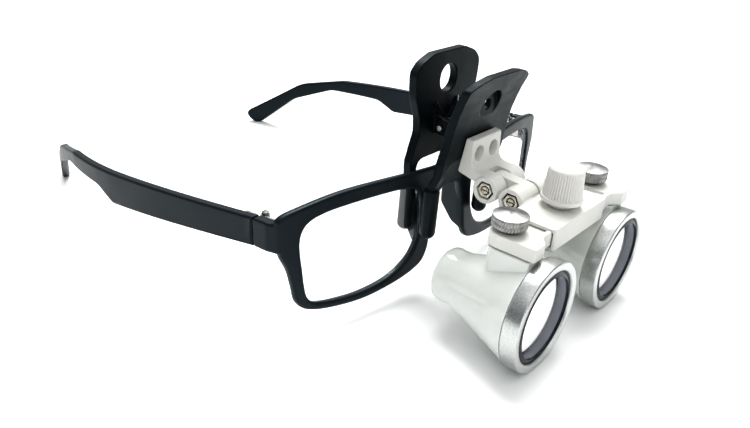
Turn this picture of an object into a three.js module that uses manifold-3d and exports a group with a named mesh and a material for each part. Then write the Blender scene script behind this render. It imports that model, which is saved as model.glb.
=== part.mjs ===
// Clip-on binocular loupes on a pair of plastic spectacles.
//
// Frame: millimetres, +Z up, -Y the way the wearer looks, +X the wearer's left.
// The spectacles stand on their temple tips and the loupes on the bottoms of their
// front rings. The outer group puts the origin under the middle of the whole object.

import * as THREE from 'three';
import { mergeVertices } from 'three/addons/utils/BufferGeometryUtils.js';
import Module from 'manifold-3d';

const wasm = await Module();
wasm.setup();

// ---------------------------------------------------------------- driving dimensions

const GAP = 0.3;                 // between pieces that rest on each other
const SIDES = [['right', -1], ['left', 1]];

// spectacles, in their own upright frame: y = 0 near the bridge, z = 0 at mid lens
const FRONT_TILT = -0.0645;      // radians about X, as the spectacles lie
const LENS_MID_HEIGHT = 25.4;
const RIM_THICKNESS = 2.6;
const RIM_FRONT_Y = -1.0;        // front face on the middle line
const FACE_CURVE = 0.00165;      // front face: y = RIM_FRONT_Y + FACE_CURVE * x^2
const SEAM_X = 72.1;             // outer face where the temple meets the end piece
const SEAM_Y = 17.2;
const SEAM_TOP = 14.2;
const SEAM_BOTTOM = 5.0;
const END_PIECE_THICKNESS = 3.6;
const HINGE_X = 66.85;
const HINGE_Y = 17.35;
const KNUCKLE_R = 1.5;
const TEMPLE_THICKNESS = 3.2;

// clip
const FINGER_X = 15.4;
const FINGER_SIZE = 2.8;
const FRONT_FINGER_Y = -3.75;
const REAR_FINGER_Y = 5.65;
const FINGER_END = 22.0;
const SLEEVE_TOP = 37.5;
const SLEEVE_BOTTOM = 20.0;
const JAW_THICKNESS = 3.0;
const PIN_Y = 0.8;
const PIN_Z = 55.5;
const PIN_R = 0.9;

// double hinge between clip and loupes
const UPPER_Y = -19.0;
const UPPER_Z = 40.6;
const LOWER_Y = -28.4;
const LOWER_Z = 39.8;
const KNUCKLE_DISC_R = 4.35;
const TONGUE_R = 3.9;
const TONGUE_HALF = 2.3;
const FORK_HALF = 8.2;
const DISC_HALF = 8.9;
const BOLT_R = 1.15;

// bridge housing with its rack and pinion
const HOUSING_HALF = 16.9;
const HOUSING_FRONT = -48.4;
const HOUSING_REAR = -32.6;
const HOUSING_TOP = 40.8;
const HOUSING_BOTTOM = 33.6;
const RAIL_FRONT = -47.2;
const RAIL_REAR = -34.2;
const RAIL_LOW = 35.1;
const RAIL_HIGH = 39.3;
const KNOB_Y = (RAIL_FRONT + RAIL_REAR) / 2;
const TOOTH_MODULE = 0.5;
const PINION_TEETH = 12;
const PITCH_R = TOOTH_MODULE * PINION_TEETH / 2;

// telescopes
const BARREL_X = 24.6;
const BARREL_Z = 17.4;
const RING_FRONT = -54.2;
const RING_REAR = -49.2;
const RING_R = 17.4;
const THUMB_X = 25.7;
const THUMB_Y = -38.1;
const BLOCK_TOP = 40.3;
const BLOCK_BOTTOM = 36.0;

// ---------------------------------------------------------------- materials

const FINISHES = {
  frame: [0x1b1e24, 0.45, 0],
  lens: [0xdfeae4, 0.05, 0],
  clip: [0x23262a, 0.55, 0],
  rubber: [0x151719, 0.7, 0],
  white: [0xeceae4, 0.45, 0],
  pearl: [0xf0f0ec, 0.2, 0],
  silver: [0xc9ccce, 0.3, 1],
  steel: [0xb9b6ae, 0.35, 1],
  black: [0x101114, 0.5, 0.3],
  glass: [0xe8eef4, 0.02, 0],
};

function finish(name) {
  const [color, roughness, metalness] = FINISHES[name];
  return new THREE.MeshStandardMaterial({ color, roughness, metalness });
}

// ---------------------------------------------------------------- closed meshes

function signedVolume(positions, index) {
  const a = new THREE.Vector3();
  const b = new THREE.Vector3();
  const c = new THREE.Vector3();
  let volume = 0;
  for (let i = 0; i < index.length; i += 3) {
    a.fromBufferAttribute(positions, index[i]);
    b.fromBufferAttribute(positions, index[i + 1]);
    c.fromBufferAttribute(positions, index[i + 2]);
    volume += a.dot(b.cross(c)) / 6;
  }
  return volume;
}

// Shares equal vertices, drops triangles that have collapsed and turns all faces out.
function weld(geometry) {
  const bare = geometry.clone();
  bare.deleteAttribute('normal');
  bare.deleteAttribute('uv');
  const merged = mergeVertices(bare, 1e-4);
  const source = merged.index.array;
  const kept = [];
  for (let i = 0; i < source.length; i += 3) {
    const [a, b, c] = [source[i], source[i + 1], source[i + 2]];
    if (a !== b && b !== c && c !== a) kept.push(a, b, c);
  }
  if (signedVolume(merged.attributes.position, kept) < 0) kept.reverse();
  merged.setIndex(kept);
  return merged;
}

function toSolid(geometry) {
  const closed = weld(geometry);
  return new wasm.Manifold(new wasm.Mesh({
    numProp: 3,
    vertProperties: new Float32Array(closed.attributes.position.array),
    triVerts: new Uint32Array(closed.index.array),
  }));
}

function toGeometry(solid) {
  const mesh = solid.getMesh();
  const geometry = new THREE.BufferGeometry();
  geometry.setAttribute('position', new THREE.BufferAttribute(mesh.vertProperties, 3));
  geometry.setIndex(new THREE.BufferAttribute(mesh.triVerts, 1));
  return geometry;
}

function join(first, ...others) {
  return toGeometry(others.reduce((solid, other) => solid.add(toSolid(other)), toSolid(first)));
}

function cut(body, ...tools) {
  return toGeometry(tools.reduce((solid, tool) => solid.subtract(toSolid(tool)), toSolid(body)));
}

function common(first, second) {
  return toGeometry(toSolid(first).intersect(toSolid(second)));
}

// Moves each vertex to where place(x, y, z) says.
function reshaped(geometry, place) {
  const moved = weld(geometry);
  const position = moved.attributes.position;
  for (let i = 0; i < position.count; i += 1) {
    position.setXYZ(i, ...place(position.getX(i), position.getY(i), position.getZ(i)));
  }
  return moved;
}

function mirrored(geometry, side) {
  return side < 0 ? weld(geometry.clone().scale(-1, 1, 1)) : geometry;
}

// ---------------------------------------------------------------- shapes

// A closed outline through corners [u, v, radius], each rounded by its radius.
function roundedOutline(corners, steps = 4) {
  const points = [];
  corners.forEach(([u, v, radius = 0], i) => {
    const corner = new THREE.Vector2(u, v);
    if (radius === 0) {
      points.push(corner);
      return;
    }
    const before = corners[(i + corners.length - 1) % corners.length];
    const after = corners[(i + 1) % corners.length];
    const back = new THREE.Vector2(before[0], before[1]).sub(corner);
    const ahead = new THREE.Vector2(after[0], after[1]).sub(corner);
    const halfAngle = Math.abs(back.angleTo(ahead)) / 2;
    const reach = Math.min(radius / Math.tan(halfAngle), back.length() * 0.49, ahead.length() * 0.49);
    const start = corner.clone().addScaledVector(back.normalize(), reach);
    const end = corner.clone().addScaledVector(ahead.normalize(), reach);
    const curve = new THREE.QuadraticBezierCurve(start, corner, end);
    points.push(...curve.getPoints(steps));
  });
  return points;
}

// A smooth curve through the points [u, v], closed or from the first to the last.
function smoothOutline(points, closed, perSpan = 2) {
  const through = points.map(([u, v]) => new THREE.Vector3(u, v, 0));
  const curve = new THREE.CatmullRomCurve3(through, closed, 'centripetal');
  const spans = closed ? points.length : points.length - 1;
  const samples = curve.getPoints(spans * perSpan).map((p) => new THREE.Vector2(p.x, p.y));
  return closed ? samples.slice(0, -1) : samples;
}

function mirroredOutline(half) {
  return [...half, ...half.slice().reverse().map((p) => new THREE.Vector2(-p.x, p.y))];
}

function circle(radius, u = 0, v = 0, sides = 16) {
  const points = [];
  for (let i = 0; i < sides; i += 1) {
    const angle = i * 2 * Math.PI / sides;
    points.push(new THREE.Vector2(u + radius * Math.cos(angle), v + radius * Math.sin(angle)));
  }
  return points;
}

// A band between the line front(t) and the same line moved by depth, at the given stations.
function band(stations, front, depth) {
  const near = stations.map((t) => new THREE.Vector2(t, front(t)));
  const far = stations.map((t) => new THREE.Vector2(t, front(t) + depth));
  return [...near, ...far.reverse()];
}

function stationsFrom(start, end, count) {
  return Array.from({ length: count + 1 }, (_, i) => start + (end - start) * i / count);
}

const X_AXIS = new THREE.Vector3(1, 0, 0);
const Y_AXIS = new THREE.Vector3(0, 1, 0);
const Z_AXIS = new THREE.Vector3(0, 0, 1);

function slab(points, depth) {
  return new THREE.ExtrudeGeometry(new THREE.Shape(points), { depth, bevelEnabled: false });
}

// An outline in (y, z), from x = from to x = to.
function alongX(points, from, to) {
  const turn = new THREE.Matrix4().makeBasis(Y_AXIS, Z_AXIS, X_AXIS);
  return slab(points, to - from).applyMatrix4(turn).translate(from, 0, 0);
}

// An outline in (x, z), from y = from to y = to.
function alongY(points, from, to) {
  const turn = new THREE.Matrix4().makeBasis(X_AXIS, Z_AXIS, Y_AXIS.clone().negate());
  return slab(points, to - from).applyMatrix4(turn).translate(0, to, 0);
}

// An outline in (x, y), from z = from to z = to.
function alongZ(points, from, to) {
  return slab(points, to - from).translate(0, 0, from);
}

function box(x0, x1, y0, y1, z0, z1) {
  const geometry = new THREE.BoxGeometry(x1 - x0, y1 - y0, z1 - z0);
  return geometry.translate((x0 + x1) / 2, (y0 + y1) / 2, (z0 + z1) / 2);
}

// A turned piece from a profile of [radius, height], about a line along Y or along Z.
function turnedY(profile, x, z, sides) {
  const points = profile.map(([r, y]) => new THREE.Vector2(r, y));
  return new THREE.LatheGeometry(points, sides).translate(x, 0, z);
}

function turnedZ(profile, x, y, sides) {
  const points = profile.map(([r, z]) => new THREE.Vector2(r, z));
  return new THREE.LatheGeometry(points, sides).rotateX(Math.PI / 2).translate(x, y, 0);
}

function smoothStep(t) {
  const s = THREE.MathUtils.clamp(t, 0, 1);
  return s * s * (3 - 2 * s);
}

// ---------------------------------------------------------------- the assembly

const assembly = new THREE.Group();
const spectacles = new THREE.Group();
spectacles.rotation.x = FRONT_TILT;
spectacles.position.z = LENS_MID_HEIGHT;
assembly.add(spectacles);

function addNode(name, geometry, finishName, parent = assembly) {
  const mesh = new THREE.Mesh(weld(geometry), finish(finishName));
  mesh.name = name;
  parent.add(mesh);
  return mesh;
}

// ---------------------------------------------------------------- spectacles

function faceY(x) {
  return RIM_FRONT_Y + FACE_CURVE * x * x;
}

// A sheet that follows the curve of the front, from depth0 to depth1 behind its face.
function curvedSheet(depth0, depth1) {
  const plan = band(stationsFrom(-76, 76, 38), (x) => faceY(x) + depth0, depth1 - depth0);
  return alongZ(plan, -30, 30);
}

// Lens opening of the wearer's left side, in the plane of the front.
function lensOpening() {
  return smoothOutline([
    [14.6, 6], [16.2, 10.2], [20, 12.3], [26, 13.4], [34, 14.0], [46.8, 14.3], [55.1, 13.9],
    [60.3, 12.7], [62.9, 10.6], [64.0, 7.4], [64.0, 3.5], [63.4, -2], [62.8, -7.5],
    [61.9, -11.5], [59.9, -13.9], [56.5, -15.2], [48.4, -16.5], [41.4, -17], [31.5, -16.4],
    [24.5, -14.4], [19, -11], [15.9, -6], [14.6, 0],
  ], true);
}

function rimOutlineHalf() {
  return smoothOutline([
    [0, 16.5], [8, 16.8], [18, 17.5], [28, 18.3], [40, 19.0], [51, 19.0], [62.9, 17.7],
    [69.4, 16.4], [71.0, 15.2], [71.2, 13.0], [70.6, 5.0], [67.9, -1.5], [66.4, -8],
    [65.6, -12], [63.4, -15.0], [59.2, -17.0], [50.6, -18.8], [41, -19.8], [32, -19.6],
    [20, -18.2], [13.4, -15.9], [10.7, -12], [9.6, -6], [8, 2], [5, 7.5], [0, 9.5],
  ], false);
}

function nosePad(side) {
  const outline = roundedOutline([
    [0.6, 7.0, 2],
    [8.2, 5.6, 2.5],
    [9.6, -4.0, 3.5],
    [5.0, -10.8, 3.5],
    [0.6, -12.6, 0.6],
  ], 4);
  const pad = reshaped(alongX(outline, -0.9, 0.9), (x, y, z) => [
    x + 9.4 - 0.17 * z + 0.1 * (y - 1),
    y,
    z,
  ]);
  return mirrored(pad, side);
}

function endPiece(side) {
  const outer = faceY(71);
  const plan = roundedOutline([
    [65.0, outer - 0.9, 0],
    [71.2, outer - 0.2, 1.5],
    [SEAM_X, outer + 4.5, 3],
    [SEAM_X, SEAM_Y, 0],
    [SEAM_X - END_PIECE_THICKNESS, SEAM_Y, 0],
    [SEAM_X - END_PIECE_THICKNESS, outer + 4.5, 2],
    [65.0, outer + 1.2, 0],
  ]);
  return mirrored(alongZ(plan, SEAM_BOTTOM, SEAM_TOP), side);
}

function buildFrameFront() {
  const blank = alongY(mirroredOutline(rimOutlineHalf().slice(1, -1)), -4, 12);
  const opening = alongY(lensOpening(), -5, 13);
  const flat = cut(blank, opening, mirrored(opening, -1));
  const front = common(flat, curvedSheet(0, RIM_THICKNESS));
  return join(front, endPiece(-1), endPiece(1), nosePad(-1), nosePad(1));
}

addNode('frame_front', buildFrameFront(), 'frame', spectacles);

function buildLens(side) {
  const centre = new THREE.Vector2(39.5, -1);
  const fitted = lensOpening().map((p) => {
    const outward = p.clone().sub(centre);
    return p.clone().addScaledVector(outward.normalize(), -0.25);
  });
  return mirrored(common(alongY(fitted, -5, 13), curvedSheet(0.5, RIM_THICKNESS - 0.4)), side);
}

// The temple runs straight back, bows out, then curls in and down behind the ear.
function templeShift(y) {
  const run = y - SEAM_Y;
  const bowEnd = 63;
  if (run < bowEnd) return 4.4 * Math.sin(Math.PI / 2 * run / bowEnd);
  return 4.4 - 0.0037 * (run - bowEnd) ** 2;
}

function buildTemple(side) {
  const outline = roundedOutline([
    [SEAM_Y + GAP, SEAM_TOP, 0],
    [84, 11.6, 20],
    [112, 10.7, 14],
    [134, 6.6, 16],
    [161.5, -10.6, 3.5],
    [156, -16.6, 3.5],
    [138, -1.6, 14],
    [118, 5.4, 14],
    [92, 4.6, 10],
    [83, 0.4, 5],
    [SEAM_Y + GAP, SEAM_BOTTOM, 0],
  ], 5);
  const inner = (y) => SEAM_X - TEMPLE_THICKNESS + templeShift(y);
  const plan = band(stationsFrom(SEAM_Y - 1, 165, 26), inner, TEMPLE_THICKNESS);
  const bowed = alongZ(plan.map((p) => new THREE.Vector2(p.y, p.x)), -30, 30);
  return mirrored(common(alongX(outline, 40, 90), bowed), side);
}

// A barrel hinge: two knuckles on the end piece, one on the temple, a screw through all.
const HINGE_LOW = 6.2;
const HINGE_HIGH = 13.5;
const KNUCKLE_LOW = 8.2;
const KNUCKLE_HIGH = 11.0;
const SCREW_SHANK_R = 0.65;

function knuckle(from, to) {
  return alongZ(circle(KNUCKLE_R, HINGE_X, HINGE_Y, 14), from, to);
}

function hingeBore() {
  return alongZ(circle(SCREW_SHANK_R + 0.15, HINGE_X, HINGE_Y, 14), HINGE_LOW - 1, HINGE_HIGH + 1);
}

function buildFrameHinge(side) {
  const leafOut = SEAM_X - END_PIECE_THICKNESS - GAP;
  const leaf = box(leafOut - 0.8, leafOut, HINGE_Y - 5.2, HINGE_Y - 0.6, HINGE_LOW, HINGE_HIGH);
  const relief = box(HINGE_X - 3, HINGE_X + 3, HINGE_Y - 2.1, HINGE_Y + 4,
    KNUCKLE_LOW - 0.2, KNUCKLE_HIGH + 0.2);
  const low = knuckle(HINGE_LOW, KNUCKLE_LOW - 0.2);
  const high = knuckle(KNUCKLE_HIGH + 0.2, HINGE_HIGH);
  const body = cut(leaf, relief);
  const clearance = box(leafOut, SEAM_X, HINGE_Y - 4, HINGE_Y + 4, HINGE_LOW - 1, HINGE_HIGH + 1);
  return mirrored(cut(join(body, low, high), hingeBore(), clearance), side);
}

function buildTempleHinge(side) {
  const leafOut = SEAM_X - END_PIECE_THICKNESS - GAP;
  const centre = knuckle(KNUCKLE_LOW, KNUCKLE_HIGH);
  const tab = box(leafOut - 0.8, leafOut, HINGE_Y, HINGE_Y + 4, KNUCKLE_LOW, KNUCKLE_HIGH);
  const leaf = box(leafOut - 0.8, leafOut, HINGE_Y + 2.2, HINGE_Y + 7, HINGE_LOW + 0.6, HINGE_HIGH - 0.6);
  const clearance = box(leafOut, SEAM_X, HINGE_Y - 4, HINGE_Y + 8, HINGE_LOW - 1, HINGE_HIGH + 1);
  return mirrored(cut(join(centre, tab, leaf), hingeBore(), clearance), side);
}

function buildHingeScrew(side) {
  const profile = [
    [0, HINGE_LOW + 0.2],
    [SCREW_SHANK_R, HINGE_LOW + 0.2],
    [SCREW_SHANK_R, HINGE_HIGH + 0.15],
    [1.1, HINGE_HIGH + 0.15],
    [1.1, HINGE_HIGH + 0.75],
    [0.7, HINGE_HIGH + 1.05],
    [0, HINGE_HIGH + 1.05],
  ];
  const slot = box(HINGE_X - 2, HINGE_X + 2, HINGE_Y - 0.2, HINGE_Y + 0.2,
    HINGE_HIGH + 0.7, HINGE_HIGH + 2);
  return mirrored(cut(turnedZ(profile, HINGE_X, HINGE_Y, 14), slot), side);
}

for (const [name, side] of SIDES) {
  addNode(`lens_${name}`, buildLens(side), 'lens', spectacles);
  addNode(`temple_${name}`, buildTemple(side), 'frame', spectacles);
  addNode(`frame_hinge_${name}`, buildFrameHinge(side), 'steel', spectacles);
  addNode(`temple_hinge_${name}`, buildTempleHinge(side), 'steel', spectacles);
  addNode(`hinge_screw_${name}`, buildHingeScrew(side), 'steel', spectacles);
}

// ---------------------------------------------------------------- clip

// Front face of the front jaw: upright fingers, a leaning seat, a handle that curls away.
function frontJawY(z) {
  const step = 1.55 * smoothStep((z - 37.8) / 6);
  const lean = 0.148 * Math.max(z - 37.8, 0);
  const curl = 0.009 * Math.max(z - 56, 0) ** 2;
  return FRONT_FINGER_Y - JAW_THICKNESS / 2 - step - lean - curl;
}

function rearJawY(z) {
  return REAR_FINGER_Y - JAW_THICKNESS / 2 + 0.035 * Math.max(z - 45, 0);
}

const FRONT_JAW_STATIONS = [15, 37.8, 39, 40.2, 41.4, 42.6, 43.8, 56, 60, 64, 68, 72, 76, 80];
const REAR_JAW_STATIONS = [15, 45, 85];

// Half outline of a jaw, from the middle of its top round to the middle of its arch.
function jawOutline(upper, archTop) {
  const half = FINGER_SIZE / 2;
  return roundedOutline([
    ...upper,
    [FINGER_X + half + 0.7, archTop, 5],
    [FINGER_X + half, SLEEVE_TOP + 1.5, 2],
    [FINGER_X + half, FINGER_END, 0.8],
    [FINGER_X - half, FINGER_END, 0.8],
    [FINGER_X - half, archTop, 3.5],
    [0, archTop, 0],
  ]);
}

function jawPlate(half, stations, frontY) {
  const face = alongY(mirroredOutline(half.slice(1, -1)), -20, 20);
  const profile = band(stations, frontY, JAW_THICKNESS);
  return common(face, alongX(profile.map((p) => new THREE.Vector2(p.y, p.x)), -25, 25));
}

// Ears from y = root round the pin, one on each side of the middle.
function pinEars(from, to, root) {
  const reach = root < PIN_Y ? -1 : 1;
  const eye = circle(2.3, PIN_Y, PIN_Z, 14);
  const web = [
    new THREE.Vector2(PIN_Y, PIN_Z + 2.3),
    new THREE.Vector2(root, PIN_Z + 3.6),
    new THREE.Vector2(root, PIN_Z - 3.6),
    new THREE.Vector2(PIN_Y, PIN_Z - 2.3),
  ];
  const outline = reach > 0 ? web.slice().reverse() : web;
  const ears = SIDES.map(([, side]) => mirrored(join(
    alongX(eye, from, to),
    alongX(outline, from, to),
  ), side));
  return join(...ears);
}

function pinBore() {
  return alongX(circle(PIN_R + 0.15, PIN_Y, PIN_Z, 14), -12, 12);
}

function buildRearJaw() {
  const half = jawOutline([
    [0, 79.1, 0], [8.6, 78.6, 8], [14.6, 76.5, 8], [17.6, 73.4, 3.5],
    [17.0, 66.0, 10], [14.2, 58.5, 10], [13.9, 54.0, 6],
  ], 44.8);
  const plate = jawPlate(half, REAR_JAW_STATIONS, rearJawY);
  const ears = pinEars(5.0, 6.4, 5.4);
  const fingerHole = alongY(circle(4.6, 0, 69.6, 24), 0, 12);
  const ribs = SIDES.map(([, side]) => mirrored(alongY([
    new THREE.Vector2(0.4, 56.6),
    new THREE.Vector2(1.5, 56.6),
    new THREE.Vector2(6.6, 61.6),
    new THREE.Vector2(5.9, 62.4),
  ], 3.6, 5.6), side));
  return cut(join(plate, ears, ...ribs), pinBore(), fingerHole);
}

function buildFrontJaw() {
  const half = jawOutline([
    [0, 76.2, 0], [7.6, 75.9, 9], [13.4, 74.6, 8], [17.2, 72.4, 1.6],
    [16.8, 66.0, 8], [16.6, 56.0, 6],
  ], 47.4);
  const plate = jawPlate(half, FRONT_JAW_STATIONS, frontJawY);
  const ears = pinEars(6.8, 8.2, -7.6);
  const dish = alongY(circle(5.0, 0, 65.0, 24), frontJawY(65) - 3, frontJawY(65) + 1.0);
  const centreHole = alongY(circle(1.7, 0, 65.0, 16), -20, 0);
  const screwHoles = SIDES.map(([, side]) => alongY(circle(0.95, side * 4.08, 50, 12), -14, -2));
  return cut(join(plate, ears), pinBore(), dish, centreHole, ...screwHoles);
}

addNode('clip_rear_jaw', buildRearJaw(), 'clip');
addNode('clip_front_jaw', buildFrontJaw(), 'clip');
addNode('clip_pin', alongX(circle(PIN_R, PIN_Y, PIN_Z, 14), -8.7, 8.7), 'steel');

// A torsion spring: turns round the pin with one leg up each handle.
class SpringPath extends THREE.Curve {
  getPoint(t) {
    const turns = 5.5;
    const coilR = 1.9;
    const halfLength = 3.6;
    const legShare = 0.08;
    const legLength = 8;
    const s = THREE.MathUtils.clamp((t - legShare) / (1 - 2 * legShare), 0, 1);
    const angle = Math.PI + s * turns * 2 * Math.PI;
    const centre = new THREE.Vector3(-halfLength + 2 * halfLength * s, PIN_Y, PIN_Z);
    centre.y += coilR * Math.cos(angle);
    centre.z += coilR * Math.sin(angle);
    const before = Math.max(legShare - t, 0) / legShare;
    const after = Math.max(t - 1 + legShare, 0) / legShare;
    centre.z += legLength * (before + after);
    centre.y += -2.6 * before + 0.6 * after;
    return centre;
  }
}

function buildClipSpring() {
  const wire = new THREE.Shape(circle(0.4, 0, 0, 6));
  return new THREE.ExtrudeGeometry(wire, {
    steps: 56,
    bevelEnabled: false,
    extrudePath: new SpringPath(),
  });
}

addNode('clip_spring', buildClipSpring(), 'steel');

function buildSleeve(side, y, radius) {
  const profile = [[0, SLEEVE_BOTTOM]];
  for (let i = 1; i <= 4; i += 1) {
    const angle = i * Math.PI / 8;
    profile.push([radius * Math.sin(angle), SLEEVE_BOTTOM + radius * (1 - Math.cos(angle))]);
  }
  profile.push([radius, SLEEVE_TOP - 0.4], [radius - 0.3, SLEEVE_TOP], [0, SLEEVE_TOP]);
  const x = side * FINGER_X;
  const halfX = FINGER_SIZE / 2 + 0.15;
  const halfY = JAW_THICKNESS / 2 + 0.15;
  const pocket = box(x - halfX, x + halfX, y - halfY, y + halfY, FINGER_END - 0.3, SLEEVE_TOP + 1);
  return cut(turnedZ(profile, x, y, 16), pocket);
}

for (const [name, side] of SIDES) {
  addNode(`front_sleeve_${name}`, buildSleeve(side, FRONT_FINGER_Y, 2.65), 'rubber');
  addNode(`rear_sleeve_${name}`, buildSleeve(side, REAR_FINGER_Y, 2.6), 'rubber');
}

// ---------------------------------------------------------------- double hinge

function boltBore(y, z) {
  return alongX(circle(BOLT_R + 0.15, y, z, 12), -20, 20);
}

// A hexagonal pocket for the nut on the right end, a round one for the head on the left.
function boltPockets(y, z) {
  const nutPocket = alongX(circle(3.2, y, z, 6), -DISC_HALF - 1, -DISC_HALF + 1.9);
  const headPocket = alongX(circle(2.5, y, z, 16), DISC_HALF - 1.7, DISC_HALF + 1);
  return [nutPocket, headPocket, boltBore(y, z)];
}

const RECESS_R = 2.5;

function buildBracket() {
  const seat = (z) => frontJawY(z) - GAP;
  const [y, z, r] = [UPPER_Y, UPPER_Z, KNUCKLE_DISC_R];
  const outline = roundedOutline([
    [seat(55.2), 55.2, 0.5],
    [seat(55.2) - 2.6, 54.9, 0.5],
    [seat(55.2) - 3.2, z + r + 0.3, 6.5],
    [y, z + r, 0],
    [y, z, 0],
    [y + r - 0.5, z + 1.2, 0],
    [seat(43.5), 43.5, 0.5],
  ], 6);
  const body = alongX(outline, -FORK_HALF, FORK_HALF);
  const discs = alongX(circle(r, y, z, 24), -DISC_HALF, DISC_HALF);
  const slotHalf = TONGUE_HALF + GAP;
  const slotTop = box(-slotHalf, slotHalf, -30, -15.7, z - 8, 56);
  const slotRound = alongX(circle(TONGUE_R + GAP, y, z, 24), -slotHalf, slotHalf);
  const screwHoles = SIDES.map(([, side]) => join(
    alongY(circle(RECESS_R, side * 4.08, 50, 20), -20, -9.7),
    alongY(circle(0.95, side * 4.08, 50, 12), -12, -4),
  ));
  return cut(join(body, discs), slotTop, slotRound, ...screwHoles, ...boltPockets(y, z));
}

addNode('bracket', buildBracket(), 'white');

function buildBracketScrew(side) {
  const head = alongY(circle(RECESS_R - GAP, side * 4.08, 50, 20), -10.45, -9.8);
  const shank = alongY(circle(0.75, side * 4.08, 50, 12), -10, -6.6);
  const slot = box(side * 4.08 - 2, side * 4.08 + 2, -12, -10.2, 49.8, 50.2);
  return cut(join(head, shank), slot);
}

function buildLink() {
  const along = new THREE.Vector2(LOWER_Y - UPPER_Y, LOWER_Z - UPPER_Z);
  const across = new THREE.Vector2(-along.y, along.x).normalize().multiplyScalar(TONGUE_R);
  const bar = [
    new THREE.Vector2(UPPER_Y, UPPER_Z).add(across),
    new THREE.Vector2(LOWER_Y, LOWER_Z).add(across),
    new THREE.Vector2(LOWER_Y, LOWER_Z).sub(across),
    new THREE.Vector2(UPPER_Y, UPPER_Z).sub(across),
  ];
  const ends = [[UPPER_Y, UPPER_Z], [LOWER_Y, LOWER_Z]].map(([y, z]) => (
    alongX(circle(TONGUE_R, y, z, 24), -TONGUE_HALF, TONGUE_HALF)));
  const body = join(alongX(bar, -TONGUE_HALF, TONGUE_HALF), ...ends);
  return cut(body, boltBore(UPPER_Y, UPPER_Z), boltBore(LOWER_Y, LOWER_Z));
}

addNode('flip_link', buildLink(), 'white');

function buildBolt(y, z) {
  const shank = alongX(circle(BOLT_R, y, z, 12), -DISC_HALF + 0.35, DISC_HALF - 1);
  const head = alongX(circle(2.2, y, z, 16), DISC_HALF - 1.5, DISC_HALF - 0.2);
  const headSlot = box(DISC_HALF - 0.7, DISC_HALF + 1, y - 3, y + 3, z - 0.3, z + 0.3);
  const endSlot = box(-DISC_HALF - 1, -DISC_HALF + 0.8, y - 3, y + 3, z - 0.25, z + 0.25);
  return cut(join(shank, head), headSlot, endSlot);
}

function buildNut(y, z) {
  const hexagon = alongX(circle(2.75, y, z, 6), -DISC_HALF + 0.2, -DISC_HALF + 1.7);
  return cut(hexagon, alongX(circle(BOLT_R + 0.1, y, z, 12), -20, 20));
}

addNode('upper_flip_bolt', buildBolt(UPPER_Y, UPPER_Z), 'steel');
addNode('upper_flip_nut', buildNut(UPPER_Y, UPPER_Z), 'steel');
addNode('lower_flip_bolt', buildBolt(LOWER_Y, LOWER_Z), 'steel');
addNode('lower_flip_nut', buildNut(LOWER_Y, LOWER_Z), 'steel');

// ---------------------------------------------------------------- bridge housing

function buildHousing() {
  const plan = roundedOutline([
    [-HOUSING_HALF, HOUSING_FRONT, 1.6],
    [HOUSING_HALF, HOUSING_FRONT, 1.6],
    [HOUSING_HALF, HOUSING_REAR, 1.6],
    [-HOUSING_HALF, HOUSING_REAR, 1.6],
  ]);
  const shell = alongZ(plan, HOUSING_BOTTOM, HOUSING_TOP);
  const [y, z, r] = [LOWER_Y, LOWER_Z, KNUCKLE_DISC_R];
  const web = [
    new THREE.Vector2(HOUSING_REAR - 0.5, HOUSING_TOP + 0.1),
    new THREE.Vector2(HOUSING_REAR - 0.5, HOUSING_BOTTOM + 1.2),
    new THREE.Vector2(y, z - r),
    new THREE.Vector2(y, z + r),
  ];
  const ears = alongX(web, -FORK_HALF, FORK_HALF);
  const discs = alongX(circle(r, y, z, 24), -DISC_HALF, DISC_HALF);
  const slotHalf = TONGUE_HALF + GAP;
  const slot = box(-slotHalf, slotHalf, HOUSING_REAR, -20, z - 8, z + 8);
  const slotRound = alongX(circle(TONGUE_R + GAP, y, z, 24), -slotHalf, slotHalf);
  const cavity = box(-15.4, 15.4, RAIL_FRONT - GAP, RAIL_REAR + GAP, HOUSING_BOTTOM - 1, RAIL_HIGH + GAP);
  const sideSlots = box(-20, 20, RAIL_FRONT - GAP, RAIL_REAR + GAP, RAIL_LOW - GAP, RAIL_HIGH + GAP);
  const knobHole = alongZ(circle(2.4, 0, KNOB_Y, 20), RAIL_HIGH, HOUSING_TOP + 1);
  const solid = join(shell, ears, discs);
  return cut(solid, slot, slotRound, cavity, sideSlots, knobHole, ...boltPockets(y, z));
}

addNode('bridge_housing', buildHousing(), 'white');

function buildCover() {
  const plate = box(-15.1, 15.1, RAIL_FRONT, RAIL_REAR, HOUSING_BOTTOM, RAIL_LOW - GAP);
  return cut(plate, alongZ(circle(1.65, 0, KNOB_Y, 16), 30, 40));
}

addNode('bridge_cover', buildCover(), 'white');

// One tooth flank profile: half thickness at the tip, at the pitch line and at the root.
const TOOTH_ADDENDUM = 0.45;
const TOOTH_DEDENDUM = 0.6;
const TOOTH_SLOPE = Math.tan(THREE.MathUtils.degToRad(20));
const TOOTH_HALF = Math.PI * TOOTH_MODULE / 4 - 0.1;

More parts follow.
